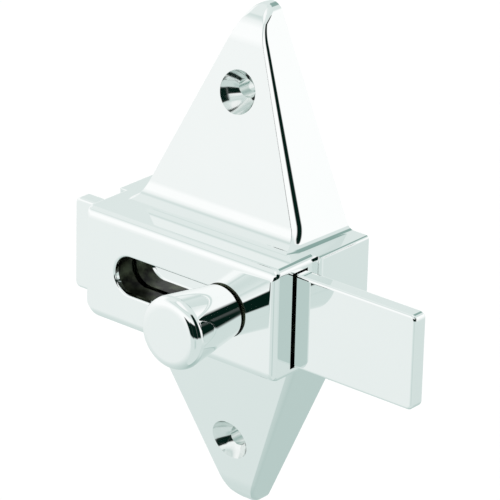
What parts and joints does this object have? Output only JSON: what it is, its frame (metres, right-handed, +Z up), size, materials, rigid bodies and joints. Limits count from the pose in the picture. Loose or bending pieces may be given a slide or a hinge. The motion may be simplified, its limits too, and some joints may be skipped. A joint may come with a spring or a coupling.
{
  "type": "slide bolt",
  "caption": "Surface-mounted slide bolt for a partition door: block housing with tapering screw flanges, flat sliding bolt and tapered knob in a slot.",
  "frame": {"origin": "middle of the flat back, which lies against the door", "axes": "+X along the bolt, the way it is thrown; +Y into the door; +Z up, along the line of the two screw holes"},
  "size_m": [0.1168, 0.0577, 0.1462],
  "materials": {
    "chrome_casting": "polished",
    "chrome_bolt": "polished",
    "chrome_knob": "polished",
    "zinc_stud": "zinc plated",
    "spring_steel": "plain"
  },
  "bodies": {
    "housing_body": {"housing": "chrome_casting", "friction_spring": "spring_steel"},
    "bolt_body": {"slide_bolt": "chrome_bolt", "knob": "chrome_knob", "knob_stud": "zinc_stud"}
  },
  "joints": [
    {"name": "bolt_slide", "type": "slide", "parent": "housing_body", "child": "bolt_body", "axis": [1, 0, 0], "range_m": [-0.0322, 0]}
  ]
}
